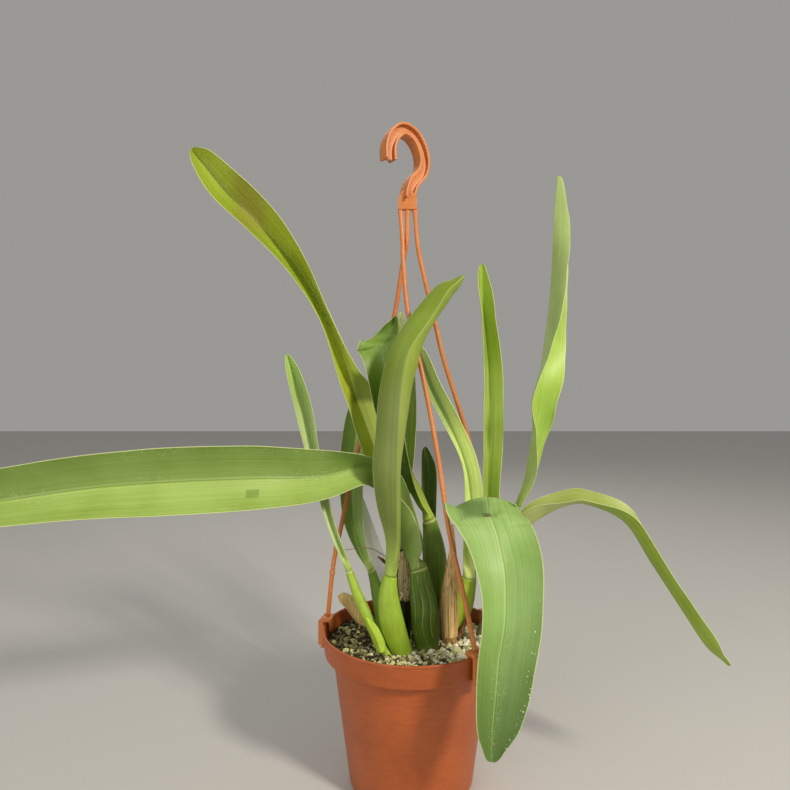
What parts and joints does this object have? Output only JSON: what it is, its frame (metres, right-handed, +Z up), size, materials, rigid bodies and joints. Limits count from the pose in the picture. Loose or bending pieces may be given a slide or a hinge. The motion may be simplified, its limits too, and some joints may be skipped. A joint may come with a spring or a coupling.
{
  "type": "potted orchid",
  "caption": "Tuft of folded strap leaves on ribbed pseudobulbs in a tapered plastic pot of pumice mix, with a hook-topped hanger of slim arms clipped to the rim and a blank label.",
  "frame": {"origin": "centre of the pot's flat underside", "axes": "+Z up, +X to the right and -Y towards the viewer of the picture"},
  "size_m": [0.5015, 0.1529, 0.4587],
  "materials": {
    "pot_plastic": "satin",
    "hanger_plastic": "satin",
    "label_plastic": "satin",
    "potting_mix": "matte",
    "leaf": "satin",
    "pseudobulb": "satin",
    "rhizome": "matte",
    "dry_bulb": "matte",
    "sheath": "matte"
  },
  "bodies": {
    "root": {"pot": "pot_plastic", "potting_mix": "potting_mix", "hanger_hook": "hanger_plastic", "hanger_arm_left": "hanger_plastic", "hanger_arm_front": "hanger_plastic", "hanger_arm_back": "hanger_plastic", "label_tag": "label_plastic", "leaf_01": "leaf", "leaf_02": "leaf", "leaf_03": "leaf", "leaf_04": "leaf", "leaf_05": "leaf", "leaf_06": "leaf", "leaf_07": "leaf", "leaf_08": "leaf", "leaf_09": "leaf", "leaf_10": "leaf", "leaf_11": "leaf", "leaf_12": "leaf", "leaf_13": "leaf", "pseudobulb_01": "pseudobulb", "pseudobulb_02": "pseudobulb", "pseudobulb_03": "pseudobulb", "pseudobulb_04": "pseudobulb", "pseudobulb_05": "pseudobulb", "pseudobulb_06": "pseudobulb", "pseudobulb_07": "pseudobulb", "pseudobulb_08": "pseudobulb", "pseudobulb_09": "pseudobulb", "pseudobulb_10": "pseudobulb", "pseudobulb_11": "pseudobulb", "pseudobulb_12": "pseudobulb", "pseudobulb_13": "pseudobulb", "rhizome_front": "rhizome", "rhizome_right": "rhizome", "dry_bulb": "dry_bulb", "withered_bulb": "dry_bulb", "sheath_02": "sheath", "sheath_06": "sheath"}
  },
  "joints": []
}
